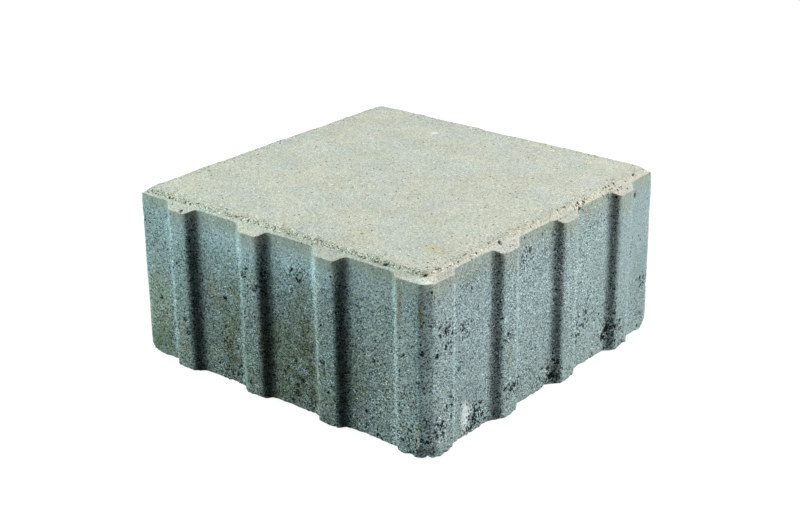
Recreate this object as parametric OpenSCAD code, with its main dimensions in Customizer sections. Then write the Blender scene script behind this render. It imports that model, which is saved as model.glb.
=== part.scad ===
// Square concrete paving stone with cast spacer ribs.
// Each side face carries a row of upright ribs. Two opposite corners are ribbed, with a slanting flat
// across them, and the other two are plain. The stone looks the same when it is turned half a turn
// about its middle, so a rib of one stone always stands against the flat face of its neighbour.
// The origin is the middle of the bed face, +Z is up, and all sizes are in millimetres.

/* [Stone] */
// Width between two opposite side faces, without the ribs
face_w = 205.5; // [120:0.5:300]
// Height from the bed face to the top face
stone_h = 100; // [40:1:160]
// Rounding radius of the two plain upright corners
plain_corner_r = 0.8; // [0.4:0.1:6]

/* [Spacer ribs] */
// How far a rib stands out from its face
rib_depth = 4.5; // [1:0.1:8]
// Width of the flat crest of a rib
rib_crest = 8.6; // [2:0.1:14]
// Width of each hollow-and-round flank of a rib
flank_run = 9; // [8:0.1:12]
// Distance from the ribbed corner to the middle of the first rib
rib_start = 63.5; // [45:0.25:80]
// Distance between the middles of neighbouring ribs
rib_pitch = 54.25; // [35:0.25:80]

/* [Ribbed corners] */
// How far the corner rib stands out from both faces
corner_depth = 3.4; // [1:0.1:6]
// Distance from the corner to the foot of the corner rib
corner_reach = 22; // [18:0.1:30]
// Width of each flank of the corner rib
corner_flank = 6; // [4.5:0.1:9]
// How far the slanting flat across the corner rib cuts back along each face
corner_cut = 4.8; // [2:0.1:9]
// Rounding radius of the two upright edges of that flat
corner_r = 5; // [0.5:0.1:6]

/* [Top edge] */
// How far the top face ends inside the side faces
top_inset = 3; // [2:0.1:6]
// Width of the steep bevel round the top face, seen from above
bevel_run = 2; // [0.5:0.1:4]
// Height of the steep bevel
bevel_drop = 2.4; // [0.5:0.1:5]
// Slope of the ledge below the bevel, which forms the upper ends of the ribs, in degrees
ledge_slope = 30; // [5:1:60]
// Rounding radius of the top face at the ribbed corners
top_corner_r = 6; // [1:0.5:12]

/* [Hidden] */
$fn = 96;

half_w = face_w / 2;
rib_foot = rib_crest + 2 * flank_run;
rib_count = floor((face_w - rib_start - rib_foot / 2 - plain_corner_r) / rib_pitch) + 1;
top_half = half_w - top_inset;
// Flat steps in each of the two arcs of a flank
arc_steps = 6;
// How far an outline runs into the one behind it, and a cutter past what it cuts
overlap = 2;
cut_reach = top_inset + max(rib_depth, corner_depth) + overlap;
corner_cut_reach = (top_corner_r + cut_reach) * sqrt(2);

// Half turn about the middle: what stands on two faces stands on the other two as well
module both_ends() {
    for (turn = [0, 180])
        rotate(turn)
            children();
}

// The -Y face and, mirrored over the line through the ribbed corners, the +X face
module both_faces() {
    children();
    mirror([1, 1, 0])
        children();
}

// Points of one rib flank: it rises along +X from the face at y = 0 to its crest, by a hollow arc
// that runs on into an equal round one. The first point lies inside the body.
function flank_points(depth, run) =
    let (
        turn = 2 * atan(depth / run),
        arc_r = run / 2 / sin(turn),
        angles = [for (i = [0 : arc_steps]) turn * i / arc_steps],
        hollow = [for (a = angles) arc_r * [sin(a), 1 - cos(a)]],
        round = [for (i = [arc_steps - 1 : -1 : 0]) [run, depth] - hollow[i]]
    )
    concat([[0, -overlap]], hollow, round);

// Outline of one spacer rib, standing up from y = 0 with its middle at x = 0
module rib() {
    half = [for (p = flank_points(rib_depth, flank_run)) p - [rib_foot / 2, 0]];
    other_half = [for (i = [len(half) - 1 : -1 : 0]) [-half[i][0], half[i][1]]];
    polygon(concat(half, other_half));
}

// The ribs of the -Y face, set out from its ribbed corner
module rib_row() {
    for (i = [0 : 1 : rib_count - 1])
        translate([half_w - rib_start - i * rib_pitch, -half_w])
            mirror([0, 1])
                rib();
}

// Outline of the rib over the +X -Y corner: a flank, a rounded edge of the slanting flat, and the
// mirror images of both
module corner_rib() {
    tip = half_w + corner_depth;
    foot = half_w - corner_reach;
    edge_middle = [tip - corner_cut - corner_r * tan(22.5), corner_r - tip];
    angles = [for (i = [0 : arc_steps]) 45 * i / arc_steps];
    flank = [for (p = flank_points(corner_depth, corner_flank)) [foot + p[0], -half_w - p[1]]];
    edge = [for (a = angles) edge_middle + corner_r * [sin(a), -cos(a)]];
    half = concat(flank, edge);
    other_half = [for (i = [len(half) - 1 : -1 : 0]) [-half[i][1], -half[i][0]]];
    polygon(concat(half, other_half));
}

// The square body, with the two corners cut back that the corner ribs cover
module body() {
    near = half_w - corner_cut;
    half = [[-half_w, -half_w], [near, -half_w], [half_w, -near]];
    polygon(concat(half, -half));
}

// What the rounding of an upright corner at +X +Y takes off
module rounding_cutter(corner, round_r) {
    translate([1, 1] * (corner - round_r))
        difference() {
            square(round_r + overlap);
            circle(round_r);
        }
}

// Outline of the stone, seen from above
module stone_outline() {
    difference() {
        union() {
            body();
            both_ends() {
                both_faces()
                    rib_row();
                corner_rib();
            }
        }
        both_ends()
            rounding_cutter(half_w, plain_corner_r);
    }
}

// What is taken off above the bevel and the ledge: distance out from the top face's edge, height
function edge_profile(reach) = [
    [-overlap, stone_h + overlap * bevel_drop / bevel_run],
    [0, stone_h],
    [bevel_run, stone_h - bevel_drop],
    [reach, stone_h - bevel_drop - (reach - bevel_run) * tan(ledge_slope)],
    [reach, stone_h + overlap * bevel_drop / bevel_run],
];

// Cutter along the top of the -Y face, from past the plain corner to the start of the rounding
module edge_cutter() {
    plain_end = half_w + cut_reach;
    translate([-plain_end, 0, 0])
        rotate([90, 0, 90])
            linear_extrude(plain_end + top_half - top_corner_r)
                polygon([for (p = edge_profile(cut_reach)) [-top_half - p[0], p[1]]]);
}

// The same cut carried round the ribbed corner
module corner_cutter() {
    middle = top_half - top_corner_r;
    inner_r = min(overlap, top_corner_r);
    translate([middle, -middle, 0])
        rotate(-90)
            rotate_extrude(angle = 90)
                polygon([for (p = edge_profile(corner_cut_reach)) [
                    top_corner_r + max(p[0], -inner_r),
                    p[1],
                ]]);
}

// The whole stone: one cast piece
module paving_stone() {
    color([0.63, 0.62, 0.58])
        difference() {
            linear_extrude(stone_h)
                stone_outline();
            both_ends() {
                both_faces()
                    edge_cutter();
                corner_cutter();
            }
        }
}

paving_stone();
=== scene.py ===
# %% [markdown]
# # A concrete paving stone
# This file dresses one cast paving stone for a studio picture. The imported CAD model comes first: it
# fixes the size and the place of the stone, and everything below is worked out from its box. Lengths
# in the geometry cells are millimetres, as on a drawing, and become metres when a mesh is filled.

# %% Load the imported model
import math

import bpy
import numpy as np
from mathutils import Matrix, Vector


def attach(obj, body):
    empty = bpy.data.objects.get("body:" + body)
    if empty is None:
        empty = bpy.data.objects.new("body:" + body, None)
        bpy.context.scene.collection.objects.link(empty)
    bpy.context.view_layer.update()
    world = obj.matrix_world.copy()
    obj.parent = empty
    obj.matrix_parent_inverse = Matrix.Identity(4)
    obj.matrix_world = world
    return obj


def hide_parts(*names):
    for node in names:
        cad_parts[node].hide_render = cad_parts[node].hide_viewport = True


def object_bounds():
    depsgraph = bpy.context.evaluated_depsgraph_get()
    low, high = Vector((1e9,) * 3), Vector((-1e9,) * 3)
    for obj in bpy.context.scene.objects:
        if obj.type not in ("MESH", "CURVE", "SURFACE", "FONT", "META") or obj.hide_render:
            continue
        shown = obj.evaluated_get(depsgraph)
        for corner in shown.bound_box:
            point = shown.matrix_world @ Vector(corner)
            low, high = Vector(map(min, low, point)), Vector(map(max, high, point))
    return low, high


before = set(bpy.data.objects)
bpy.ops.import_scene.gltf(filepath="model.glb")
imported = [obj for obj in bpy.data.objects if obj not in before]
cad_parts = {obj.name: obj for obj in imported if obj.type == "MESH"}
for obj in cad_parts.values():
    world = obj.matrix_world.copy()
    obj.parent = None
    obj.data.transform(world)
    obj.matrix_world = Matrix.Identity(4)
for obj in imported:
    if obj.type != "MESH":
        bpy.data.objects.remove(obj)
cad_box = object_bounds()

MM = 0.001
half_over_ribs = (cad_box[1].x - cad_box[0].x) / 2 / MM
stone_height = cad_box[1].z / MM
print(f"CAD box: {2 * half_over_ribs:.1f} mm over the ribs, {stone_height:.1f} mm high")

# %% [markdown]
# ## Camera
# The picture looks down on a corner of the stone with a longish lens, so upright edges lean together a
# little towards the floor. A camera could be placed by eye, but a turn, a height angle, a small roll and
# a distance say the same thing in numbers that can be checked. The script takes the image to be 800 by
# 522 pixels.

# %% Camera at the photograph's viewing angle
IMAGE_WIDTH_PX = 800
SENSOR_WIDTH_MM = 36.0
FOCAL_LENGTH_PX = 1558.9
CAMERA_TURN = math.radians(40.16)
CAMERA_RISE = math.radians(22.35)
CAMERA_ROLL = math.radians(-0.71)
CAMERA_DISTANCE = 0.8998
AIM_HEIGHT = 0.0462
AIM_SHIFT = (0.00046, -0.00212)


def camera_matrix():
    """Axes of a camera that stands at the given turn and rise, rolled about its line of sight."""
    back = Vector((
        math.sin(CAMERA_TURN) * math.cos(CAMERA_RISE),
        -math.cos(CAMERA_TURN) * math.cos(CAMERA_RISE),
        math.sin(CAMERA_RISE),
    ))
    level = Vector((math.cos(CAMERA_TURN), math.sin(CAMERA_TURN), 0.0))
    upright = back.cross(level)
    right = math.cos(CAMERA_ROLL) * level + math.sin(CAMERA_ROLL) * upright
    up = math.cos(CAMERA_ROLL) * upright - math.sin(CAMERA_ROLL) * level
    place = Vector((0, 0, AIM_HEIGHT)) + CAMERA_DISTANCE * back
    place -= AIM_SHIFT[0] * right + AIM_SHIFT[1] * up
    axes = Matrix((right, up, back)).transposed()
    return Matrix.Translation(place) @ axes.to_4x4()


camera_data = bpy.data.cameras.new("camera")
camera_data.sensor_fit = "HORIZONTAL"
camera_data.sensor_width = SENSOR_WIDTH_MM
camera_data.lens = FOCAL_LENGTH_PX * SENSOR_WIDTH_MM / IMAGE_WIDTH_PX
camera_data.dof.use_dof = False
camera = bpy.data.objects.new("camera", camera_data)
camera.matrix_world = camera_matrix()
bpy.context.scene.collection.objects.link(camera)
bpy.context.scene.camera = camera
print("camera stands at", [round(c, 3) for c in camera.matrix_world.translation])

# %% [markdown]
# ## Plan outline
# Seen from above, each side of the stone is a straight face with a row of spacer ribs, and it runs from
# a plain corner to a ribbed one with a slanting flat across it. A rib rises from the face by a hollow
# arc that goes over into an equal round arc. Only one side has to be worked out: the next one is its
# mirror image over the line through the ribbed corners, and the other two are those two turned by half
# a turn.

# %% Depth of the ribs along one side
RIB_DEPTH = 4.5
RIB_CREST = 8.6
FLANK_RUN = 9.0
RIB_START = 63.5
RIB_PITCH = 54.25
RIBS_PER_SIDE = 3
CORNER_DEPTH = 3.4
CORNER_REACH = 22.0
CORNER_FLANK = 6.0
half_face = half_over_ribs - RIB_DEPTH
rib_middles = half_face - RIB_START - RIB_PITCH * np.arange(RIBS_PER_SIDE)


def flank(distance, depth, run):
    """Height over the face at a distance from the foot of a flank: up to half way it follows a hollow
    arc that leaves the face level, then the same arc upside down to the crest."""
    turn = 2 * math.atan(depth / run)
    radius = run / 2 / math.sin(turn)
    u = np.clip(distance, 0, run)
    hollow = radius - np.sqrt(radius**2 - np.minimum(u, run / 2) ** 2)
    rounded = depth - radius + np.sqrt(radius**2 - np.minimum(run - u, run / 2) ** 2)
    return np.where(u < run / 2, hollow, rounded)


def rib_depth_at(along):
    """How far the side stands out at a place along it: the highest of its ribs there."""
    from_foot = RIB_CREST / 2 + FLANK_RUN - np.abs(along[:, None] - rib_middles)
    ribs = flank(from_foot, RIB_DEPTH, FLANK_RUN).max(axis=1)
    return np.maximum(ribs, flank(along - half_face + CORNER_REACH, CORNER_DEPTH, CORNER_FLANK))


print("rib middles along a side, mm:", rib_middles)

# %% Shape of a level ring
PLAIN_CORNER_R = 0.8
CORNER_CUT = 4.8
CORNER_EDGE_R = 5.0
# an arc that turns by 45 degrees starts this many radii before the sharp corner that it rounds
TANGENT_PER_RADIUS = math.tan(math.radians(22.5))


def ring_plan(reach, place, plain_r, cut, edge_r):
    """Plan of one side of a ring that stands out from the face plane by reach. A place is a share of the
    straight run, the angle of the corner arcs (270 degrees on the straight run) and a share of half
    the slanting flat. The three parts are added up, so each one goes on where the last one ended."""
    share, angle, slant = place
    start = -(half_face + reach[..., :1] - plain_r)
    end = half_face + reach[..., -1:] - cut - edge_r * TANGENT_PER_RADIUS
    half_flat = cut / math.sqrt(2) - edge_r * TANGENT_PER_RADIUS
    radius = np.where(share < 0.5, plain_r, edge_r)
    step = slant * half_flat / math.sqrt(2)
    x = start + (end - start) * share + radius * np.cos(angle) + step
    y = -(half_face + reach) + radius * (1 + np.sin(angle)) + step
    return x, y


flat_width = math.sqrt(2) * CORNER_CUT - 2 * CORNER_EDGE_R * TANGENT_PER_RADIUS
print(f"the slanting flat of a ribbed corner is {flat_width:.1f} mm wide")

# %% Points along one side at even spacing
POINTS_PER_SIDE = 168
# fine steps along the plain corner's arc, the straight run, and each part of the ribbed corner
ARC_STEPS = 30
RUN_STEPS = 6000
CORNER_STEPS = 150


def even_places():
    """Places along one side, from the middle of its plain corner to the middle of its ribbed corner, at
    even steps of the outline's length, with the distance along the face and the rib depth at each."""
    start = half_face - PLAIN_CORNER_R
    end = half_face + CORNER_DEPTH - CORNER_CUT - CORNER_EDGE_R * TANGENT_PER_RADIUS
    run = np.linspace(0, 1, RUN_STEPS)
    share = np.concatenate([np.zeros(ARC_STEPS), run, np.ones(2 * CORNER_STEPS)])
    plain_turn = [np.linspace(225, 270, ARC_STEPS), np.full(RUN_STEPS, 270.0)]
    ribbed_turn = [np.linspace(270, 315, CORNER_STEPS), np.full(CORNER_STEPS, 315.0)]
    angle = np.radians(np.concatenate(plain_turn + ribbed_turn))
    before_flat = np.zeros(ARC_STEPS + RUN_STEPS + CORNER_STEPS)
    slant = np.append(before_flat, np.linspace(0, 1, CORNER_STEPS))
    depth = rib_depth_at((start + end) * share - start)
    x, y = ring_plan(depth, (share, angle, slant), PLAIN_CORNER_R, CORNER_CUT, CORNER_EDGE_R)
    length = np.concatenate([[0], np.cumsum(np.hypot(np.diff(x), np.diff(y)))])
    even = np.linspace(0, length[-1], POINTS_PER_SIDE + 1)
    place = np.array([np.interp(even, length, part) for part in (share, angle, slant)])
    along = (start + end) * place[0] - start
    return place, along, rib_depth_at(along), length[-1]


path_place, path_along, path_depth, side_length = even_places()
print(f"one side is {side_length:.1f} mm long, a point every {side_length / POINTS_PER_SIDE:.2f} mm")

# %% [markdown]
# ## Section from the bed to the top
# An upright cut through the edge shows the bed corner, the side, a sloping ledge that closes the upper
# end of each rib, a steep bevel and the edge of the top face. This section is a profile that is carried
# along the outline. Its points depend on the rib depth at each place, because the ledge starts lower
# where a rib stands further out; over the ribbed corners it is flatter, so its lip lies a little higher.
# Extra points beside each edge keep the edges crisp but not razor sharp.

# %% Rows of the section
BED_EDGE_R = 0.7
LIP_R = 0.5
LEDGE_SLOPE = math.radians(30)
# reach over the face plane and height of both ends of the bevel
BEVEL_FOOT = (-1.0, stone_height - 2.4)
BEVEL_TOP = (-3.0, stone_height)
TOP_RING_INSET = 3.9
TOP_EDGE_SOFTENING = (0.15, 0.1)
CORNER_LIP_RISE = 1.2
SIDE_ROWS = 72
BED_TURNS = (0, 30, 60, 90)
LIP_TURNS = (30, 60)
LEDGE_PLACES = (0.28, 0.56, 0.82, 1.0)
BEVEL_PLACES = (0.3, 0.6, 0.88)


def section_rows(depth, lip_rise):
    """Reach over the face plane and height of every row, for an array of rib depths: a quarter circle at
    the bed, an even climb up the side, a rounded lip, the ledge, the bevel and the rounded top edge. The
    lip lies where the ledge's slope reaches the rib, raised where the ledge is flatter."""
    lip = BEVEL_FOOT[1] - (depth - BEVEL_FOOT[0]) * math.tan(LEDGE_SLOPE) + lip_rise
    lip_start = lip - LIP_R * math.tan(LEDGE_SLOPE)
    bed = np.radians(BED_TURNS)[:, None]
    bed_reach = depth - BED_EDGE_R * (1 - np.sin(bed))
    bed_z = BED_EDGE_R * (1 - np.cos(bed)) + 0 * depth
    climb = np.linspace(0, 1, SIDE_ROWS + 1)[1:, None]
    side_z = BED_EDGE_R + climb * (lip_start - BED_EDGE_R)
    side_reach = depth + 0 * climb
    lip_turn = np.radians(LIP_TURNS)[:, None]
    lip_reach = depth - LIP_R * (1 - np.cos(lip_turn))
    lip_z = lip_start + LIP_R * np.sin(lip_turn)
    along = np.array(LEDGE_PLACES)[:, None]
    ledge_reach = lip_reach[-1] + along * (BEVEL_FOOT[0] - lip_reach[-1])
    ledge_z = lip_z[-1] + along * (BEVEL_FOOT[1] - lip_z[-1])
    up = np.array(BEVEL_PLACES)[:, None]
    bevel_reach = BEVEL_FOOT[0] + up * (BEVEL_TOP[0] - BEVEL_FOOT[0]) + 0 * depth
    bevel_z = BEVEL_FOOT[1] + up * (BEVEL_TOP[1] - BEVEL_FOOT[1]) + 0 * depth
    soft_reach, soft_drop = TOP_EDGE_SOFTENING
    edge_reach = np.array([BEVEL_TOP[0] - soft_reach, -TOP_RING_INSET])[:, None] + 0 * depth
    edge_z = np.array([BEVEL_TOP[1] - soft_drop, stone_height])[:, None] + 0 * depth
    reach = np.vstack([bed_reach, side_reach, lip_reach, ledge_reach, bevel_reach, edge_reach])
    height = np.vstack([bed_z, side_z, lip_z, ledge_z, bevel_z, edge_z])
    zones = np.repeat(
        ["bed", "side", "ledge", "bevel", "edge"],
        [len(bed), len(climb), len(lip_turn) + len(along), len(up), len(edge_z)],
    )
    return reach, height, zones


corner_share = flank(path_along - half_face + CORNER_REACH, 1.0, CORNER_FLANK)
row_reach, row_height, row_zone = section_rows(path_depth, CORNER_LIP_RISE * corner_share)
print(len(row_zone), "rows:", {z: int((row_zone == z).sum()) for z in dict.fromkeys(row_zone)})

# %% Carry the section round the stone
TOP_PLAIN_R = 4.0
TOP_CUT = 3.5
TOP_EDGE_R = 6.0


def from_side_to_top(reach, outer_reach, outer, inner):
    """A length that changes evenly from the outer face inwards to the edge of the top face."""
    share = np.clip((outer_reach - reach) / (outer_reach - BEVEL_TOP[0]), 0, 1)
    return outer + (inner - outer) * share


def side_rings(reach, height, place):
    """Level rings along one side, with corners that grow softer towards the top face. Returns points of
    shape rows, places, 3."""
    plain_r = from_side_to_top(reach[:, :1], 0.0, PLAIN_CORNER_R, TOP_PLAIN_R)
    cut = from_side_to_top(reach[:, -1:], CORNER_DEPTH, CORNER_CUT, TOP_CUT)
    edge_r = from_side_to_top(reach[:, -1:], CORNER_DEPTH, CORNER_EDGE_R, TOP_EDGE_R)
    x, y = ring_plan(reach, place, plain_r, cut, edge_r)
    return np.stack([x, y, height + 0 * x], axis=-1)


def all_round(side):
    """The four sides from one: mirrored over the line through the ribbed corners, then both of them
    turned half a turn. Each side gives up its last point, which the next one starts with."""
    next_side = np.stack([-side[..., 1], -side[..., 0], side[..., 2]], axis=-1)[:, ::-1]
    half_turn = np.array([-1, -1, 1])
    sides = [side, next_side, side * half_turn, next_side * half_turn]
    return np.concatenate([s[:, :-1] for s in sides], axis=1)


rings = all_round(side_rings(row_reach, row_height, path_place))
print("side surface:", rings.shape[0], "rings of", rings.shape[1], "points")

# %% [markdown]
# ## Top and bed faces
# The top face is a net stretched inside the last ring: a Coons patch, which blends the four border
# curves so that its edge points are exactly the ring's points and no seam opens. The bed lies on the
# ground, so a net four times as coarse is enough there, joined by a strip of small polygons.


# %% Coons patch inside a ring
def patch(ring):
    """Net of points inside a closed ring of four equal sides: the blend of the two pairs of opposite
    border curves, less the blend of the four corners that both pairs count."""
    n = len(ring) // 4
    closed = np.concatenate([ring, ring[:1]])
    south, east = closed[: n + 1], closed[n : 2 * n + 1]
    north, west = closed[2 * n : 3 * n + 1][::-1], closed[3 * n :][::-1]
    u = np.linspace(0, 1, n + 1)[None, :, None]
    v = np.linspace(0, 1, n + 1)[:, None, None]
    across = (1 - v) * south[None] + v * north[None]
    along = (1 - u) * west[:, None] + u * east[:, None]
    corners = (1 - v) * ((1 - u) * south[0] + u * south[-1]) + v * ((1 - u) * north[0] + u * north[-1])
    return across + along - corners


def net_numbers(ring_numbers, first_new):
    """Vertex numbers of a patch: its border takes the ring's own numbers, its inside new ones."""
    n = len(ring_numbers) // 4
    net = np.zeros((n + 1, n + 1), int)
    net[1:-1, 1:-1] = first_new + np.arange((n - 1) ** 2).reshape(n - 1, n - 1)
    closed = np.append(ring_numbers, ring_numbers[0])
    net[0], net[:, -1] = closed[: n + 1], closed[n : 2 * n + 1]
    net[-1], net[:, 0] = closed[2 * n : 3 * n + 1][::-1], closed[3 * n :][::-1]
    return net


def quads(net):
    """Faces of a net of vertex numbers, counter-clockwise seen from outside."""
    return np.stack([net[:-1, :-1], net[:-1, 1:], net[1:, 1:], net[1:, :-1]], axis=-1).reshape(-1, 4)


BED_COARSER = 4
BED_INSET = 7.0
ring_count, ring_size = rings.shape[:2]
thinned = slice(None, None, BED_COARSER)
bed_place = path_place[:, thinned]
bed_reach = np.full((1, bed_place.shape[1]), -BED_INSET)
bed_ring = all_round(side_rings(bed_reach, 0 * bed_reach, bed_place))[0]
top_net = patch(rings[-1])
bed_net = patch(bed_ring)
print("top net", top_net.shape[:2], "bed net", bed_net.shape[:2])

# %% Join everything into one closed mesh
side_numbers = np.arange(ring_count * ring_size).reshape(ring_count, ring_size)
top_first = side_numbers.size
top_numbers = net_numbers(side_numbers[-1], top_first)
bed_first = top_first + top_net[1:-1, 1:-1, 0].size
bed_ring_numbers = bed_first + np.arange(len(bed_ring))
bed_numbers = net_numbers(bed_ring_numbers, bed_first + len(bed_ring))

points = np.concatenate([
    rings.reshape(-1, 3),
    top_net[1:-1, 1:-1].reshape(-1, 3),
    bed_ring,
    bed_net[1:-1, 1:-1].reshape(-1, 3),
])
side_wrapped = np.concatenate([side_numbers, side_numbers[:, :1]], axis=1)
outer = np.append(side_numbers[0], side_numbers[0, 0])
inner = np.append(bed_ring_numbers, bed_ring_numbers[0])
strip_start = BED_COARSER * np.arange(len(bed_ring))[:, None]
strip_outer = outer[strip_start + np.arange(BED_COARSER, -1, -1)]
strip = np.concatenate([strip_outer, inner[:-1, None], inner[1:, None]], axis=1)
faces = quads(side_wrapped).tolist() + quads(top_numbers).tolist()
faces += strip.tolist() + quads(bed_numbers)[:, ::-1].tolist()

stone_mesh = bpy.data.meshes.new("cast_stone")
stone_mesh.from_pydata((points * MM).tolist(), [], faces)
stone_mesh.update()
normals = np.empty(len(points) * 3)
stone_mesh.vertex_normals.foreach_get("vector", normals)
normals = normals.reshape(-1, 3)
triangles = sum(len(f) - 2 for f in faces)
print(len(points), "points,", len(faces), "faces,", triangles, "triangles")

# %% [markdown]
# ## Cast relief
# Pressed concrete is never smooth: sand grains stand out a little, air leaves pores, the bevel is
# grainy and wavy, and the bed edge crumbles when the stone is pushed off its board. Sculpting that by
# hand is slow and can't be repeated, so smooth random fields move each point along its normal. The
# random numbers are seeded, so every run gives the same stone.

# %% Smooth random field
TABLE_SIZE = 4096
HASH_PRIMES = (73856093, 19349663, 83492791)


def lattice_values(cells, seed):
    """One random number from 0 to 1 for each whole-numbered cell: the cell is hashed into a table."""
    table = np.random.default_rng(seed).uniform(0, 1, TABLE_SIZE)
    key = cells.astype(np.int64) * HASH_PRIMES
    return table[(key[..., 0] ^ key[..., 1] ^ key[..., 2]) & (TABLE_SIZE - 1)]


def lattice_noise(where, cell, seed):
    """Random values from -1 to 1 on the corners of a cubic lattice, blended between the eight corners
    round each point with an ease curve that has no kinks."""
    base = np.floor(where / cell)
    f = where / cell - base
    ease = f**3 * (f * (6 * f - 15) + 10)
    corners = np.array(list(np.ndindex(2, 2, 2)))
    number = lattice_values(base[:, None] + corners, seed)
    weight = np.where(corners, ease[:, None], 1 - ease[:, None]).prod(axis=-1)
    return 2 * (number * weight).sum(axis=1) - 1


def smooth_step(value, low, high):
    """0 below low, 1 above high, and an S between them."""
    t = np.clip((value - low) / (high - low), 0, 1)
    return t * t * (3 - 2 * t)


# %% Grain of each zone
# heights in mm: grain and waves of each zone of the section, and of the top face
GRAIN = {"bed": 0.24, "side": 0.05, "ledge": 0.05, "bevel": 0.15, "edge": 0.13}
TOP_GRAIN = 0.06
EDGE_WAVES = {"bed": 0.0, "side": 0.0, "ledge": 0.1, "bevel": 0.3, "edge": 0.3}
FINE_CELL = 1.7
COARSER_CELL = 3.6
COARSER_SHARE = 0.6
LUMP_CELL = 14.0
LUMP_HEIGHT = 0.16
SAG_CELL = 48.0
SAG_HEIGHT = 0.22
BROAD_LIMIT = 0.1
WAVE_CELL = 6.5
# all of it is sunk by this much, so that the grain stays inside the CAD box
SINK = 0.12


def by_zone(values, top, bed):
    """One number per vertex: a number for each zone of the section, one for the top, one for the bed."""
    rows = np.repeat([values[z] for z in row_zone], ring_size)
    inside_top = np.full(top_net[1:-1, 1:-1, 0].size, top)
    return np.concatenate([rows, inside_top, np.full(len(points) - bed_first, bed)])


fine = lattice_noise(points, FINE_CELL, seed=11)
fine = fine + COARSER_SHARE * lattice_noise(points, COARSER_CELL, seed=12)
broad = LUMP_HEIGHT * lattice_noise(points, LUMP_CELL, seed=13)
broad = broad + SAG_HEIGHT * lattice_noise(points, SAG_CELL, seed=14)
wavy = by_zone(EDGE_WAVES, 0.0, 0.0) * lattice_noise(points, WAVE_CELL, seed=15)
grainy = by_zone(GRAIN, TOP_GRAIN, GRAIN["bed"]) * fine
relief = grainy + np.minimum(broad, BROAD_LIMIT) + wavy - SINK
print(f"relief from grain: {relief.min():.2f} to {relief.max():.2f} mm")

# %% [markdown]
# ### Pits
# Air and coarse sand leave pits a few millimetres wide. They are strewn thinly all over the sides and
# crowd together in some places, mostly low down and beside the ribs. Each cell of a lattice may hold one
# pit at a random place in it, and the chance of that is raised around the crowded places.

# %% Places where pits crowd together
CROWDED = np.array([
    # along X, along Y, height, half width of the place, strength
    (106, -92, 68, 4, 1.5), (106, -91, 60, 4, 1.4), (103, -72, 62, 5, 0.9), (106, -95, 17, 4, 1.8),
    (106, -91, 25, 4, 1.7),
    (103, -64, 9.5, 6, 2.2), (103, -68, 3, 4, 1.6), (107, -41, 46, 3.5, 1.6), (107, -37, 16, 4.5, 1.8),
    (103, -21, 84, 5, 0.8), (103, -29, 13, 6, 1.0), (103, 4, 6, 7, 1.2), (103, 27, 21, 4, 1.0),
    (103, 36, 31, 8, 0.7), (103, 60, 12, 8, 1.3), (103, 71, 3, 6, 1.0), (104, 66, 17, 6, 1.0),
    (103, 78, 56, 7, 0.6), (102, 101, 30, 6, 1.0), (102, 62, 98, 6, 0.4), (101, 30, 98, 6, 0.4),
    (16, -103, 78, 5, 1.0), (-39, -103, 23, 4, 1.3), (-79, -103, 21, 4, 1.2), (-11, -107, 68, 4, 0.7),
    (-75, -104, 65, 4, 1.0), (97, -106, 8, 7, 0.9), (88, -105, 8, 6, 0.9), (62, -103, 7, 6, 0.9),
    (14, -103, 9, 8, 0.9), (-40, -103, 5, 6, 1.1), (-28, -103, 4, 5, 1.1), (22, -103, 5, 6, 1.0),
    (-60, 104, 55, 9, 0.5), (20, 103, 14, 10, 0.6), (-103, 40, 30, 9, 0.5), (-104, -35, 70, 7, 0.6),
    (-95, 104, 20, 9, 0.6),
])
PIT_CELL = 3.2
PIT_RAGGED = 0.9
PIT_RAGGED_CELL = 2.0
PIT_DEPTH = 0.65
PIT_SMALLEST = 0.28
PIT_SPREAD = 0.42
PIT_CHANCE = {"bed": 0.10, "side": 0.012, "ledge": 0.004, "bevel": 0.05, "edge": 0.03}
BED_PIT_CHANCE = 0.05
CROWDED_PIT_CHANCE = 0.30


def pits(where, chance, cell, seed):
    """Depth share of the deepest pit at each point, 0 to 1. Every lattice cell near the point may hold a
    bowl-shaped pit; its depth falls off as one less the square of the distance over its radius."""
    base = np.floor(where / cell)
    deepest = np.zeros(len(where))
    for step in np.ndindex(3, 3, 3):
        cells = base + np.array(step) - 1
        jitter = np.stack([lattice_values(cells, seed + k) for k in range(3)], axis=-1)
        radius = cell * (PIT_SMALLEST + PIT_SPREAD * lattice_values(cells, seed + 3))
        away = ((cells + jitter) * cell - where) / radius[:, None]
        bowl = np.clip(1 - (away**2).sum(axis=1), 0, 1)
        deepest = np.maximum(deepest, np.where(lattice_values(cells, seed + 4) < chance, bowl, 0))
    return deepest


distance = np.linalg.norm(points[:, None] - CROWDED[None, :, :3], axis=-1) / CROWDED[:, 3]
crowding = (CROWDED[:, 4] * np.exp(-(distance**2))).max(axis=1)
pit_chance = by_zone(PIT_CHANCE, 0.0, BED_PIT_CHANCE) + CROWDED_PIT_CHANCE * crowding
shakes = [lattice_noise(points, PIT_RAGGED_CELL, seed) for seed in (46, 47, 48)]
pit = pits(points + PIT_RAGGED * np.stack(shakes, axis=-1), pit_chance, PIT_CELL, seed=41)
relief = relief - PIT_DEPTH * pit
print(f"{(pit > 0).mean():.1%} of the points lie in a pit")

# %% [markdown]
# ### Worn edges
# The bed edge and the outer corners are the weakest places, so they have lost some crumbs. The loss is
# largest right at the edge and fades out within a few millimetres.

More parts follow.
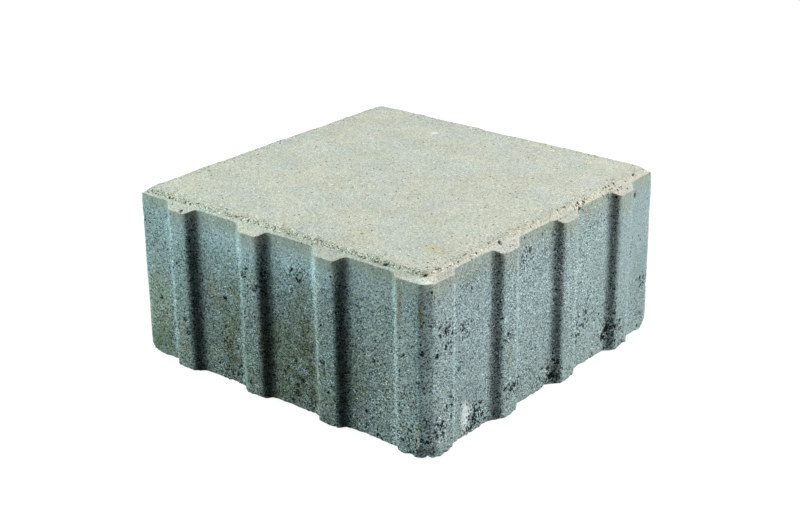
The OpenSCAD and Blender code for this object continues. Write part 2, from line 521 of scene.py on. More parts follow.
# %% Crumbled bed edge and corners
CRUMB_REACH = 3.5
CRUMB_DEPTH = 0.8
BITE_CELL = 5.0
NIBBLE_CELL = 2.2
NIBBLE_SHARE = 0.5
FULL_BITE = 0.9
CHIP_LEAST = 0.7
CHIP_VARIES = 0.6
CHIPPED_CORNERS = np.array([
    # along X, along Y, height, half width and depth of the chip
    (-103, -103, 0, 5, 1.6), (103, 103, 0, 5, 1.8), (92, -106, 0, 7, 0.8), (103.5, -104, 0, 8, 2.0),
    (-103, -103, 98, 4, 0.6), (103, 70, 0, 6, 1.0), (-98, 104, 0, 6, 1.2), (103, 103, 98, 4, 0.8),
    (84, -106, 0, 5, 1.2), (106, -85, 0, 5, 1.2),
])
on_rings = np.arange(len(points)) < rings.shape[0] * ring_size
near_bed = np.where(on_rings, np.clip(1 - points[:, 2] / CRUMB_REACH, 0, 1), 0)
bitten = lattice_noise(points, BITE_CELL, seed=51)
bitten = bitten + NIBBLE_SHARE * lattice_noise(points, NIBBLE_CELL, seed=52)
bite = smooth_step(bitten, 0.0, FULL_BITE)
crumbs = CRUMB_DEPTH * near_bed * bite
from_chip = np.linalg.norm(points[:, None] - CHIPPED_CORNERS[None, :, :3], axis=-1)
in_chip = np.clip(1 - (from_chip / CHIPPED_CORNERS[:, 3]) ** 2, 0, 1)
chips = (CHIPPED_CORNERS[:, 4] * in_chip).max(axis=1)
relief = relief - crumbs - chips * (CHIP_LEAST + CHIP_VARIES * bite)
print(f"deepest crumb {crumbs.max():.2f} mm, deepest chip {chips.max():.2f} mm")

# %% Put the relief into the mesh
points = points + normals * relief[:, None]
points[:, 2] = np.clip(points[:, 2], 0, stone_height)
stone_mesh.vertices.foreach_set("co", (points * MM).ravel())
stone_mesh.polygons.foreach_set("use_smooth", np.ones(len(faces), bool))
stone_mesh.update()
stone = bpy.data.objects.new("paving_stone_cast", stone_mesh)
bpy.context.scene.collection.objects.link(stone)
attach(stone, "root")
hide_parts("paving_stone")
print("stone spans, mm:", np.ptp(points, axis=0).round(2))

# %% [markdown]
# ## Concrete
# The stone shows two mixes: a fine, warm grey one on the top, the bevel and the ledges, and a coarser
# blue-grey one on the sides. Both are cement paste with grains of sand, so their colour is a speckle of
# light and dark cells over slow drifts of tone. What depends on the place in the section, such as which
# mix shows, is stored on the mesh as one number per vertex, and the shader reads it back.

# %% Helpers that store numbers on the mesh
EGG_CORE = 0.25


def store(name, values):
    """Keeps one number per vertex on the mesh under a name."""
    layer = stone_mesh.attributes.new(name, "FLOAT", "POINT")
    layer.data.foreach_set("value", values.astype(np.float32))


def ring_values(side, top, bed):
    """One number per vertex from numbers on the rows of one side: that side, its mirror image and both
    again for the other half of the ring, then one number for the top and one for the bed."""
    rows = np.concatenate([side[:, :-1], side[:, :0:-1]] * 2, axis=1)
    inside_top = np.full(top_net[1:-1, 1:-1, 0].size, top)
    return np.concatenate([rows.ravel(), inside_top, np.full(len(points) - bed_first, bed)])


def egg(middle, radii):
    """Share of every vertex in an egg-shaped place: 1 in its core, falling in an S to 0 at its edge."""
    reach = np.linalg.norm((points - np.array(middle)) / radii, axis=1)
    return 1 - smooth_step(reach, EGG_CORE, 1.0)


# %% Which mix shows, and the painted shade in the flanks
LIP_BAND = 9.0
SHADED_FLANK_SLOPES = (0.2, 1.0)
LIT_FLANK_PAINTED_SHADE = 0.25
TINY_STEP = 1e-6

below_lip = row_height[row_zone == "ledge"][0] - row_height
face_share = np.where(below_lip > 0, 0.0, 1.0)
band_share = np.where(below_lip > 0, np.exp(-((below_lip / LIP_BAND) ** 2)), 0.0)
# the distance along the face stands still on the corner arcs, and tiny steps keep its places apart there
falling = -np.gradient(path_depth, path_along + TINY_STEP * np.arange(len(path_along)))
# painted shade: full on the rib flanks where the depth falls along a side, which face away from the lamps,
# and a quarter of it on the flanks that face them
painted_flank_shade = smooth_step(falling, *SHADED_FLANK_SLOPES) + LIT_FLANK_PAINTED_SHADE * smooth_step(-falling, *SHADED_FLANK_SLOPES)
lip_share = ring_values(band_share, 0.0, 0.0)
shaded_flank_share = ring_values(painted_flank_shade * (row_zone == "side")[:, None], 0.0, 0.0)
store("face_mix", ring_values(face_share, 1.0, 0.0))
store("lip_band", lip_share)
store("flank", shaded_flank_share)
print(f"grime reaches {(shaded_flank_share > 0.5).mean():.1%} of the points")

# %% Where the concrete is coarse or worn
COARSE = {"bed": 1.0, "side": 1.0, "ledge": 0.40, "bevel": 0.75, "edge": 0.6}
WORN = {"bed": 0.0, "side": 0.0, "ledge": 0.08, "bevel": 0.9, "edge": 0.8}
TOP_COARSE = 0.42
RIM_COARSER = 0.26
RIM_WIDTH = 8
RIM_WORN = 0.55
WORN_LINE = 3

from_edge = np.clip(half_face - np.abs(points[:, :2]).max(axis=1), 0, None)
top_coarse = TOP_COARSE + RIM_COARSER * np.exp(-((from_edge / RIM_WIDTH) ** 2))
top_worn = RIM_WORN * np.exp(-(((from_edge - WORN_LINE) / WORN_LINE) ** 2))
top_only = by_zone(dict.fromkeys(COARSE, 0), 1, 0)
coarse_share = top_only * top_coarse + by_zone(COARSE, 0, 1.0)
worn_share = top_only * top_worn + by_zone(WORN, 0, 0)
store("coarse", coarse_share)
store("worn", worn_share)
print(f"worn share {worn_share.mean():.2f}, coarse share {coarse_share.mean():.2f} on average")

# %% Where grains stand out and holes are likely
# an egg-shaped place is given by its middle and its radii in mm
ROUGH_PLACE = ((15, -97, 18), (135, 24, 76))
SMOOTH_PLACE = ((106, 100, 66), (60, 75, 70))
PALE_PLACE = ((-2, -108, 87), (125, 30, 17))
RIGHT_EDGE = ((104, 0, 99), (16, 140, 10))
LEFT_EDGE = ((0, -104, 99), (140, 16, 10))
ROUGH_GAIN = 1.15
FLANK_ROUGHNESS = 0.8
CROWDED_GAIN = 0.6
LEFT_EDGE_GAIN = 0.5
RIGHT_EDGE_LOSS = 0.3
SMOOTH_LOSS = 0.55
LIP_BAND_LOSS = 0.45
PALE_LOSS = 0.2
CROWDED_HOLES = 0.80
WORN_HOLES = 0.26
RIGHT_EDGE_SPARED = 0.45
STRAY_HOLES = 0.03
TOP_HOLES = 0.012

pale_share = egg(*PALE_PLACE)
right_edge = egg(*RIGHT_EDGE)
roughened = np.clip(egg(*ROUGH_PLACE) + FLANK_ROUGHNESS * shaded_flank_share, 0, 1)
rougher = 1 + ROUGH_GAIN * roughened + CROWDED_GAIN * crowding
rougher = rougher + worn_share * (LEFT_EDGE_GAIN * egg(*LEFT_EDGE) - RIGHT_EDGE_LOSS * right_edge)
smoother = (1 - SMOOTH_LOSS * egg(*SMOOTH_PLACE)) * (1 - LIP_BAND_LOSS * lip_share)
speckle = coarse_share * smoother * (1 - PALE_LOSS * pale_share) * rougher
worn_holes = WORN_HOLES * worn_share * (1 - RIGHT_EDGE_SPARED * right_edge)
stray_holes = STRAY_HOLES * speckle + TOP_HOLES * top_only
store("pale", pale_share)
store("speckle", speckle)
store("hole_chance", CROWDED_HOLES * crowding + worn_holes + stray_holes)
store("pit", pit)
store("crowded", crowding)
print("stored:", [a.name for a in stone_mesh.attributes if a.data_type == "FLOAT"])

# %% [markdown]
# ### Shader nodes
# A material in Blender is a tree of small nodes, and writing each one out takes many lines. A few short
# helpers make a node, join it and hand back its output, so that the material below reads like a formula.


# %% Node helpers
def node(tree, kind, links=None, **settings):
    """One shader node. Settings are its properties, links its inputs: a socket to join or a value."""
    made = tree.nodes.new(kind)
    for name, value in settings.items():
        setattr(made, name, value)
    for name, value in (links or {}).items():
        if isinstance(value, bpy.types.NodeSocket):
            tree.links.new(value, made.inputs[name])
        else:
            made.inputs[name].default_value = value
    return made


def calc(tree, operation, a, b, clamp=False):
    """One step of arithmetic on two values."""
    return node(tree, "ShaderNodeMath", {0: a, 1: b}, operation=operation, use_clamp=clamp).outputs[0]


def fade(tree, value, low, high, to_low=0.0, to_high=1.0):
    """A smooth step of a value from to_low to to_high."""
    links = {"Value": value, "From Min": low, "From Max": high, "To Min": to_low, "To Max": to_high}
    return node(tree, "ShaderNodeMapRange", links, interpolation_type="SMOOTHSTEP").outputs["Result"]


def spread(tree, value, gain, start):
    """A value times a gain, plus a start."""
    return calc(tree, "ADD", calc(tree, "MULTIPLY", value, gain), start)


def stretched(tree, where, factors):
    """A place with each of its axes times a factor."""
    return node(tree, "ShaderNodeVectorMath", {0: where, 1: factors}, operation="MULTIPLY").outputs[0]


def blend(tree, share, a, b, mode="MIX"):
    """Mixes two colours by a share."""
    made = node(tree, "ShaderNodeMix", {0: share, 6: a, 7: b}, data_type="RGBA", blend_type=mode)
    return made.outputs[2]


def scaled(tree, colour, factor):
    """A colour times a value."""
    return node(tree, "ShaderNodeVectorMath", {0: colour, "Scale": factor}, operation="SCALE").outputs[0]


def noise(tree, where, lump_mm, detail, roughness):
    """Value of a noise whose lumps are about lump_mm across."""
    links = {"Vector": where, "Scale": 1 / (lump_mm * MM), "Detail": detail, "Roughness": roughness}
    return node(tree, "ShaderNodeTexNoise", links).outputs["Fac"]


def cells(tree, where, cell_mm):
    """Random cells: distance from each cell's middle, in cells, and one random colour per cell."""
    links = {"Vector": where, "Scale": 1 / (cell_mm * MM)}
    made = node(tree, "ShaderNodeTexVoronoi", links)
    return made.outputs["Distance"], made.outputs["Color"]


def stored(tree, name):
    """A number kept on the mesh."""
    return node(tree, "ShaderNodeAttribute", attribute_name=name).outputs["Fac"]


def stored_colour(tree, name):
    """A colour kept on the mesh."""
    return node(tree, "ShaderNodeAttribute", attribute_name=name).outputs["Color"]


# %% [markdown]
# ### Sand grains and air holes
# Every grain of sand that shows is a cell of a Voronoi texture with a tone of its own: most are close to
# the paste, a few are dark and a few very light. Air holes are cells too, but only some of them hold one,
# by a chance that the mesh stores. Modelling them would take millions of faces, so they are colour and
# bump, and only the larger pits are in the mesh. The holes and the pits are darkened in the colour:
# painted shade, with some dirt.

# %% Grains of sand
SMALL_GRAIN = 0.46
LARGE_GRAIN = 1.3
LARGE_GRAIN_SHARE = 0.08
GRAIN_TONES = (
    # place on the ramp and tone, where 1 is the tone of the paste
    (0.0, 0.0), (0.13, 0.14), (0.32, 0.92), (0.66, 1.16), (0.88, 1.46), (0.965, 1.6), (1.0, 2.9),
)
GRAIN_HUES = (
    # place on the ramp and colour that the concrete is multiplied with
    (0.0, (1.12, 1.02, 0.76, 1)), (0.3, (1.02, 1.0, 0.97, 1)),
    (0.7, (0.99, 1.0, 1.03, 1)), (1.0, (0.92, 0.98, 1.14, 1)),
)


def ramp(tree, value, stops):
    """A ramp through pairs of place and colour."""
    made = node(tree, "ShaderNodeValToRGB", {0: value})
    while len(made.color_ramp.elements) < len(stops):
        made.color_ramp.elements.new(1.0)
    for element, (place, colour) in zip(made.color_ramp.elements, stops):
        element.position = place
        element.color = colour
    return made.outputs["Color"]


def channel(tree, colour, number):
    """One channel of a colour, as a number."""
    return node(tree, "ShaderNodeSeparateColor", {0: colour}).outputs[number]


def grains(tree, where):
    """How much lighter or darker the sand is than the paste round it, and its tint. Every small cell
    takes a tone from a ramp with a few dark and a few very light ends; larger cells vary it a little."""
    tones = [(place, (tone, tone, tone, 1)) for place, tone in GRAIN_TONES]
    _, small = cells(tree, where, SMALL_GRAIN)
    _, large = cells(tree, where, LARGE_GRAIN)
    small_tone = channel(tree, ramp(tree, channel(tree, small, 0), tones), 0)
    large_tone = channel(tree, ramp(tree, channel(tree, large, 0), tones), 0)
    lift = calc(tree, "SUBTRACT", small_tone, 1.0)
    slow_lift = calc(tree, "MULTIPLY", calc(tree, "SUBTRACT", large_tone, 1.0), LARGE_GRAIN_SHARE)
    return calc(tree, "ADD", lift, slow_lift), ramp(tree, channel(tree, small, 1), GRAIN_HUES)


# %% Air holes
# lump and reach of the shaking noise, in cells, and its detail
SHAKE_LUMP = 0.4
SHAKE_REACH = 0.5
SHAKE_DETAIL = 2.0
# a factor below 1 on the upright axis makes the holes taller, and the rim starts at a share of the radius
HOLE_STRETCH = (1, 1, 0.7)
HOLE_RIM = 0.75
# cell in mm, and radius of the smallest hole and spread of the radii, in cells
SMALL_HOLE_CELL = 1.3
SMALL_HOLE_SIZES = (0.24, 0.30)
LARGE_HOLE_CELL = 2.6
LARGE_HOLE_GROWTH = (1.0, 1.8, 0.28, 0.48)
LARGE_HOLE_SPREAD = 0.28
LARGE_HOLE_CHANCE = 0.85
PIT_FADE = (0.18, 0.55)
BROKEN_FADE = (0.39, 0.45)


def pinholes(tree, where, chance, cell_mm, smallest, larger):
    """1 in the ragged holes that air leaves, 0 elsewhere. Some cells hold one, by chance, with a radius
    from smallest up to smallest plus larger. The place is shaken by noise, so that no hole is round, and
    the holes are a little taller than wide."""
    links = {"Vector": where, "Scale": 1 / (SHAKE_LUMP * cell_mm * MM), "Detail": SHAKE_DETAIL}
    shake = node(tree, "ShaderNodeTexNoise", links).outputs["Color"]
    links = {0: shake, 1: (SHAKE_REACH * cell_mm * MM,) * 3, 2: where}
    shaken = node(tree, "ShaderNodeVectorMath", links, operation="MULTIPLY_ADD").outputs[0]
    away, random_colour = cells(tree, stretched(tree, shaken, HOLE_STRETCH), cell_mm)
    pick = node(tree, "ShaderNodeSeparateColor", {0: random_colour}).outputs
    size = spread(tree, pick[1], larger, smallest)
    inside = fade(tree, calc(tree, "DIVIDE", away, size), HOLE_RIM, 1.0, 1.0, 0.0)
    return calc(tree, "MULTIPLY", inside, calc(tree, "LESS_THAN", pick[0], chance))


def air_holes(tree, where, crumbs):
    """The small holes, and all holes together. The larger ones and the pits crowd together, grow with the
    crowding, and are broken up by a fine noise, because their floors are rough."""
    small = pinholes(tree, where, stored(tree, "hole_chance"), SMALL_HOLE_CELL, *SMALL_HOLE_SIZES)
    crowded = stored(tree, "crowded")
    chance = calc(tree, "MULTIPLY", crowded, LARGE_HOLE_CHANCE)
    smallest = fade(tree, crowded, *LARGE_HOLE_GROWTH)
    large = pinholes(tree, where, chance, LARGE_HOLE_CELL, smallest, LARGE_HOLE_SPREAD)
    hollow = fade(tree, stored(tree, "pit"), *PIT_FADE)
    broken = fade(tree, crumbs, *BROKEN_FADE)
    ragged = calc(tree, "MULTIPLY", calc(tree, "MAXIMUM", large, hollow), broken)
    return small, calc(tree, "MAXIMUM", small, ragged)


# %% [markdown]
# ### Stains
# The stone has lain in the yard: dirt has settled low on one side, rust and lime have run down in a few
# places, and the top has faint warm and cool patches. Each stain is an egg-shaped place on the stone with
# a colour that either tints the concrete or covers it. A few tints are painted light and shade instead: a
# brighter slanting flat and corner rib at the front corner, pale lines down the corner rib on the +X side
# and a darker strip on one rib there. They are soft and much wider than the mesh is fine, so they are
# worked out on the vertices and stored there; the shader only frays them with noise.

# %% Stains, painted light and painted shade by place
TINTS = np.array([
    # middle and radii in mm, colour that the concrete is multiplied with
    (-5, -97, 18, 118, 24, 76, 0.46, 0.42, 0.31),
    (20, -103, 46, 13, 8, 44, 0.62, 0.56, 0.44),
    (-33, -103, 36, 12, 8, 46, 0.80, 0.77, 0.70),
    (-33, -103, 6, 10, 8, 14, 0.76, 0.77, 0.80),
    (-47, -103, 52, 9, 6, 14, 0.91, 0.77, 0.60),
    (-92, -104, 34, 16, 12, 30, 0.98, 0.91, 0.69),
    (-93, -106, 4, 22, 14, 28, 0.62, 0.60, 0.40),
    (-69, -108, 14, 10, 8, 32, 0.97, 0.89, 0.78),
    (-15, -108, 78, 9, 8, 10, 0.92, 0.88, 0.88),
    (-15, -108, 59, 9, 8, 15, 1.16, 1.13, 1.17),
    (39, -108, 64, 9, 8, 26, 0.90, 0.82, 0.78),
    (39, -108, 10, 10, 8, 40, 0.86, 0.82, 0.77),
    (19, -103, 8, 24, 12, 28, 0.78, 0.75, 0.70),
    (58, -103, 20, 9, 8, 24, 0.93, 0.89, 0.82),
    (74, -106, 45, 34, 14, 70, 1.06, 0.95, 0.88),
    # painted light: the corner rib on the -Y side made paler
    (91, -106, 48, 8, 6, 80, 1.20, 1.14, 1.12),
    # painted light: the slanting flat of the front corner made much brighter
    (105, -105, 52, 6.5, 6.5, 92, 1.86, 1.91, 1.91),
    (88, -105, 82, 2.4, 5, 17, 0.74, 0.52, 0.32),
    (101, -105, 79, 2.4, 5, 10, 0.80, 0.64, 0.50),
    (0, -106, 91, 115, 12, 9, 1.10, 1.06, 1.06),
    (99, -103, 95, 13, 12, 6, 1.34, 1.32, 1.34),
    (82, -73, 100, 16, 7, 4, 1.02, 0.93, 0.80),
    (-33, -53, 100, 7, 4, 4, 0.87, 0.96, 1.04),
    (-108, 20, 15, 30, 90, 50, 0.73, 0.68, 0.60),
    (30, 108, 12, 80, 30, 44, 0.79, 0.74, 0.66),
    (-107, 0, 52, 13, 118, 110, 1.18, 0.96, 0.93),
    (108, 20, 2, 30, 110, 26, 0.93, 0.93, 0.89),
    (104, 93, 26, 12, 15, 38, 0.86, 0.86, 0.84),
    # painted highlight: a pale strip down the crest edge of the corner rib on the +X side
    (104, -84, 50, 5, 4, 70, 1.08, 1.08, 1.08),
    (106, 68, 12, 9, 10, 18, 0.82, 0.82, 0.81),
    (104, -50, 97.5, 9, 75, 5, 1.06, 1.07, 1.08),
    (106, -92, 14, 8, 12, 32, 0.86, 0.86, 0.84),
    (104, -67, 16, 8, 15, 24, 0.86, 0.87, 0.86),
    (104, 38, 60, 12, 50, 80, 1.03, 1.03, 1.01),
    (104, -50, 64, 12, 56, 56, 1.04, 1.04, 1.06),
    (105, 16, 96.5, 8, 10, 4, 0.86, 0.90, 0.91),
    (105, -41, 95.5, 8, 9, 4, 1.05, 1.05, 1.08),
    (-30, -105, 95.5, 100, 8, 4, 1.06, 1.05, 1.03),
    (39, -108, 4, 8, 8, 13, 0.78, 0.76, 0.77),
    (7, -103, 8, 9, 6, 16, 1.10, 1.16, 1.26),
    (24, -103, 26, 8, 6, 30, 0.90, 0.87, 0.82),
    (-92, -103, 83, 12, 6, 8, 1.08, 1.13, 1.16),
    (106, -15, 56, 14, 85, 17, 1.10, 1.10, 1.10),
    # painted highlight: a pale line down the foot of the corner rib on the +X side
    (103.2, -81.6, 48, 4, 2.4, 75, 1.45, 1.45, 1.45),
    (107, -41, 36, 4, 4, 8, 0.90, 0.82, 0.68),
    # painted shade: a darker rib crest beside its shaded flank on the +X side
    (107, -39, 30, 5, 6, 40, 0.95, 0.94, 0.92),
])
COVERS = np.array([
    # middle and radii in mm, colour that covers the concrete
    (103, -72, 12, 6, 5.2, 12, 0.88, 0.99, 0.97),
    (98.5, -106, 12, 1.9, 5, 13, 0.68, 0.71, 0.56),
    (-35, 75, 100, 3, 3, 3, 0.92, 0.92, 0.90),
    (60, -104, 12, 9, 5, 12, 0.35, 0.42, 0.42),
])


def store_colour(name, values):
    """Keeps one colour per vertex on the mesh under a name."""
    layer = stone_mesh.attributes.new(name, "FLOAT_COLOR", "POINT")
    with_alpha = np.concatenate([values, np.ones((len(values), 1))], axis=1)
    layer.data.foreach_set("color", with_alpha.astype(np.float32).ravel())


tint_shares = np.stack([egg(row[:3], row[3:6]) for row in TINTS], axis=1)
cover_shares = np.stack([egg(row[:3], row[3:6]) for row in COVERS], axis=1)
away_from_covers = np.linalg.norm(points[:, None] - COVERS[:, :3], axis=-1)
store_colour("stain_and_painted_light", (1 + tint_shares[..., None] * (TINTS[:, 6:] - 1)).prod(axis=1))
store_colour("cover", COVERS[away_from_covers.argmin(axis=1), 6:])
store("covered", cover_shares.max(axis=1))
print(len(TINTS), "tints and", len(COVERS), "covers stored")

# %% [markdown]
# ### Colour of the concrete
# The clean concrete comes first: the two mixes and their slow drifts of tone. Over it come the stains,
# with painted light and shade in a few of them, and painted shade on the rib flanks that face away from
# the lamps. All of it is mixed from a few plain colours by noises and by the numbers stored on the mesh,
# and nothing depends on the camera.

# %% The two mixes
CORE_COLOUR = (0.37, 0.49, 0.50, 1.0)
CORE_PALE = (0.49, 0.655, 0.69, 1.0)
BAND_COLOUR = (0.395, 0.464, 0.405, 1.0)
BAND_SHARE = 0.95
FACE_WARM = (0.660, 0.643, 0.535, 1.0)
FACE_COOL = (0.629, 0.643, 0.576, 1.0)
SANDY = (0.58, 0.585, 0.475, 1.0)
# a noise is given by its lump in mm, its detail and its roughness
# a fade is given by the values where it starts and ends, and by what it then gives, 0 and 1 if not said
HUE_NOISE = (22.0, 5.0, 0.62)
HUE_FADE = (0.36, 0.64)
SAND_NOISE = (2.6, 3.0, 0.6)
SAND_FADE = (0.30, 0.60, 0.4, 1.0)


def two_mixes(tree, where):
    """Colour of the clean concrete: the core mix, paler high up on one side and warmer in the band below
    the ledge, or the face mix, which drifts between a warm and a cool grey and is sandy where worn."""
    hue_drift = fade(tree, noise(tree, where, *HUE_NOISE), *HUE_FADE)
    face_colour = blend(tree, hue_drift, FACE_WARM, FACE_COOL)
    core_colour = blend(tree, stored(tree, "pale"), CORE_COLOUR, CORE_PALE)
    band = calc(tree, "MULTIPLY", stored(tree, "lip_band"), BAND_SHARE)
    core_colour = blend(tree, band, core_colour, BAND_COLOUR)
    sand = fade(tree, noise(tree, where, *SAND_NOISE), *SAND_FADE)
    face_colour = blend(tree, calc(tree, "MULTIPLY", stored(tree, "worn"), sand), face_colour, SANDY)
    return blend(tree, stored(tree, "face_mix"), core_colour, face_colour)


# %% Drifts of tone
# gain and start of each drift, as a factor on the colour
DRIFT = (0.36, 0.82)
STREAK = (0.24, 0.88)
SLOW_DRIFT = (0.24, 0.88)
STREAK_NOISE = (1.6, 2.0, 0.6)
STREAK_STRETCH = (1, 1, 0.06)
SLOW_NOISE = (26.0, 3.0, 0.5)
FACE_DRIFT_POWER = 0.5


def drifting(tree, where, colour, frayed):
    """A colour times its drifts of tone: on the sides a drift times upright streaks, on the face mix the
    root of that drift times a slower one."""
    drift = spread(tree, frayed, *DRIFT)
    streak = spread(tree, noise(tree, stretched(tree, where, STREAK_STRETCH), *STREAK_NOISE), *STREAK)
    slow = spread(tree, noise(tree, where, *SLOW_NOISE), *SLOW_DRIFT)
    side_drift = calc(tree, "MULTIPLY", drift, streak)
    face_drift = calc(tree, "MULTIPLY", calc(tree, "POWER", drift, FACE_DRIFT_POWER), slow)
    links = {0: stored(tree, "face_mix"), 2: side_drift, 3: face_drift}
    return scaled(tree, colour, node(tree, "ShaderNodeMix", links).outputs[0])


# %% Stains and painted flank shade
# grey that paints shade into the rib flanks that face away from the lamps
FLANK_PAINTED_SHADE = (0.41, 0.41, 0.41, 1.0)
TINT_FADE = (0.36, 0.60, 0.5, 1.0)
COVER_FADE = (0.27, 0.42)
FLANK_SHADE_FADE = (0.3, 0.6, 1.15, 0.75)


def stains_painted_light_and_shade(tree, colour, frayed, crumbs):
    """A colour times its stains and the painted light and shade among them, then under its covers, both
    frayed by noise, then times painted shade on the rib flanks that face away from the lamps. Also gives
    back the covered share."""
    # stains, with painted light and shade in a few of the places
    stained_and_painted_light = blend(tree, 1.0, colour, stored_colour(tree, "stain_and_painted_light"), "MULTIPLY")
    colour = blend(tree, fade(tree, frayed, *TINT_FADE), colour, stained_and_painted_light)
    covered = calc(tree, "MULTIPLY", stored(tree, "covered"), fade(tree, frayed, *COVER_FADE))
    colour = blend(tree, covered, colour, stored_colour(tree, "cover"))
    # painted shade: the grey darkens the rib flanks that face away from the lamps
    painted_shade = calc(tree, "MULTIPLY", stored(tree, "flank"), fade(tree, crumbs, *FLANK_SHADE_FADE), clamp=True)
    shaded_colour = blend(tree, 1.0, colour, FLANK_PAINTED_SHADE, "MULTIPLY")
    return blend(tree, painted_shade, colour, shaded_colour), covered


# %% Concrete of the stone
FRAY_NOISE = (9.0, 5.0, 0.7)
CRUMB_NOISE = (1.0, 2.0, 0.6)
COVERED_SPECKLE = 0.4
DARKEST_GRAIN = 0.04
HOLE_SHADE_AND_DIRT = 0.96
MATT_ROUGHNESS = 0.92
GLOSS_LEVEL = 0.2
HOLE_BUMP = 2.0
BUMP_STRENGTH = 0.6
BUMP_HEIGHT = 0.25


def concrete():
    """Cast concrete: the stained and painted colour times the tone of the sand grains, darkened in the
    holes and pits by painted shade and dirt. The grains and the small holes also give a fine bump."""
    material = bpy.data.materials.new("cast_concrete")
    material.use_nodes = True
    tree = material.node_tree
    shader = tree.nodes["Principled BSDF"]
    where = node(tree, "ShaderNodeTexCoord").outputs["Object"]
    frayed = noise(tree, where, *FRAY_NOISE)
    crumbs = noise(tree, where, *CRUMB_NOISE)
    colour = drifting(tree, where, two_mixes(tree, where), frayed)
    colour, covered = stains_painted_light_and_shade(tree, colour, frayed, crumbs)
    calmer = fade(tree, covered, 0.0, 1.0, 1.0, COVERED_SPECKLE)
    speckled = calc(tree, "MULTIPLY", stored(tree, "speckle"), calmer)
    lift, tint = grains(tree, where)
    tone = calc(tree, "ADD", calc(tree, "MULTIPLY", lift, speckled), 1.0)
    tone = calc(tree, "MAXIMUM", tone, DARKEST_GRAIN)
    colour = scaled(tree, blend(tree, speckled, colour, tint, "MULTIPLY"), tone)
    small_holes, holes = air_holes(tree, where, crumbs)
    # painted shade and dirt: the holes and pits are darkened in the colour
    light = calc(tree, "SUBTRACT", 1.0, calc(tree, "MULTIPLY", holes, HOLE_SHADE_AND_DIRT))
    tree.links.new(scaled(tree, colour, light), shader.inputs["Base Color"])
    shader.inputs["Roughness"].default_value = MATT_ROUGHNESS
    shader.inputs["Specular IOR Level"].default_value = GLOSS_LEVEL
    height = calc(tree, "SUBTRACT", tone, calc(tree, "MULTIPLY", small_holes, HOLE_BUMP))
    strength = calc(tree, "MULTIPLY", stored(tree, "coarse"), BUMP_STRENGTH)
    links = {"Height": height, "Strength": strength, "Distance": BUMP_HEIGHT * MM}
    tree.links.new(node(tree, "ShaderNodeBump", links).outputs["Normal"], shader.inputs["Normal"])
    return material


stone_mesh.materials.append(concrete())
print("concrete has", len(stone_mesh.materials[0].node_tree.nodes), "nodes")

# %% [markdown]
# ## Floor and light
# The stone stands on a plain pale floor. On either side of it stand two soft lamps, one ahead of the
# stone's middle and one behind it. They rake over the two faces, so the flanks of the ribs that turn
# away from them fall dark, while the slanting flat of the front corner still catches a little of both
# sides. The floor shows itself to the camera as almost white and still takes the stone's shadow.

# %% Floor
FLOOR_SIZE = 6.0
FLOOR_WHITE_SHARE = 0.80
FLOOR_GLOW = 1.12
FLOOR_PALE = 0.95
FLOOR_BOUNCE = 0.03


def floor_material():
    """White where the camera or a reflection sees it, with the shadow still on it; a dark matt cloth
    for the light that bounces off it."""
    material = bpy.data.materials.new("pale_floor")
    material.use_nodes = True
    tree = material.node_tree
    tree.nodes.clear()
    path = node(tree, "ShaderNodeLightPath").outputs
    seen = calc(tree, "MAXIMUM", path["Is Camera Ray"], path["Is Glossy Ray"])
    seen = calc(tree, "MAXIMUM", seen, path["Is Transmission Ray"])
    white = node(tree, "ShaderNodeEmission", {"Color": (1, 1, 1, 1), "Strength": FLOOR_GLOW}).outputs[0]
    pale = node(tree, "ShaderNodeBsdfDiffuse", {"Color": (FLOOR_PALE,) * 3 + (1,)}).outputs[0]
    cloth = node(tree, "ShaderNodeBsdfDiffuse", {"Color": (FLOOR_BOUNCE,) * 3 + (1,)}).outputs[0]
    shown = node(tree, "ShaderNodeMixShader", {0: FLOOR_WHITE_SHARE, 1: pale, 2: white}).outputs[0]
    both = node(tree, "ShaderNodeMixShader", {0: seen, 1: cloth, 2: shown}).outputs[0]
    node(tree, "ShaderNodeOutputMaterial", {"Surface": both})
    return material


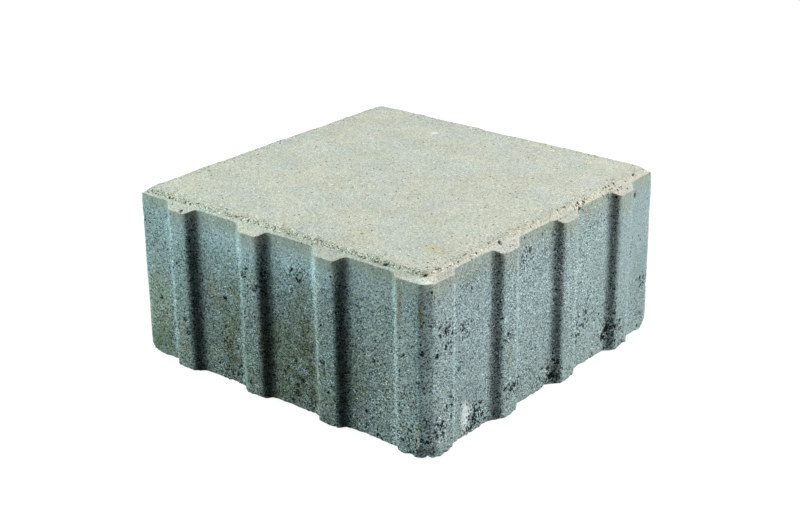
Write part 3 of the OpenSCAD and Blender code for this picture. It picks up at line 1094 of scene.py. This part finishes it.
floor_mesh = bpy.data.meshes.new("floor")
corner_signs = ((-1, -1), (1, -1), (1, 1), (-1, 1))
floor_corners = [(x * FLOOR_SIZE / 2, y * FLOOR_SIZE / 2, 0) for x, y in corner_signs]
floor_mesh.from_pydata(floor_corners, [], [(0, 1, 2, 3)])
floor_mesh.materials.append(floor_material())
floor = bpy.data.objects.new("floor", floor_mesh)
bpy.context.scene.collection.objects.link(floor)
print("floor is", FLOOR_SIZE, "m square")

# %% Lamps and world
COOL = (0.85, 1.0, 1.0)
PLAIN = (1.0, 1.0, 1.0)
LAMPS = {
    # azimuth and rise in degrees, distance and size in metres, level and colour
    "left_rear_lamp": (-153, 22, 1.6, 0.7, 1.10, COOL),
    "left_front_lamp": (-126, 28, 1.4, 0.3, 0.24, COOL),
    "right_front_lamp": (5, 28, 1.4, 0.3, 0.36, PLAIN),
    "right_rear_lamp": (50, 26, 1.4, 0.4, 0.835, PLAIN),
}
WORLD_LEVEL = 0.0


def add_lamp(name, azimuth, rise, distance, size, level, colour):
    """A square soft lamp aimed at the stone. Level 1 lights a facing white surface to white: a lamp of
    power P gives an irradiance of P / (pi d2) at distance d, and white takes an irradiance of pi."""
    data = bpy.data.lights.new(name, "AREA")
    data.shape = "SQUARE"
    data.size = size
    data.color = colour
    data.energy = level * math.pi**2 * distance**2
    lamp = bpy.data.objects.new(name, data)
    turn = math.radians(azimuth)
    tilt = math.radians(rise)
    level_part = math.cos(tilt)
    direction = Vector((math.cos(turn) * level_part, math.sin(turn) * level_part, math.sin(tilt)))
    lamp.location = direction * distance + Vector((0, 0, AIM_HEIGHT))
    lamp.rotation_euler = direction.to_track_quat("Z", "Y").to_euler()
    bpy.context.scene.collection.objects.link(lamp)
    print(name, "at", [round(c, 2) for c in lamp.location], f"{data.energy:.1f} W")


for lamp_name, lamp_facts in LAMPS.items():
    add_lamp(lamp_name, *lamp_facts)

world = bpy.data.worlds.new("studio")
world.use_nodes = True
world.node_tree.nodes["Background"].inputs["Color"].default_value = (1, 1, 1, 1)
world.node_tree.nodes["Background"].inputs["Strength"].default_value = WORLD_LEVEL
bpy.context.scene.world = world
bpy.context.scene.view_settings.view_transform = "Standard"
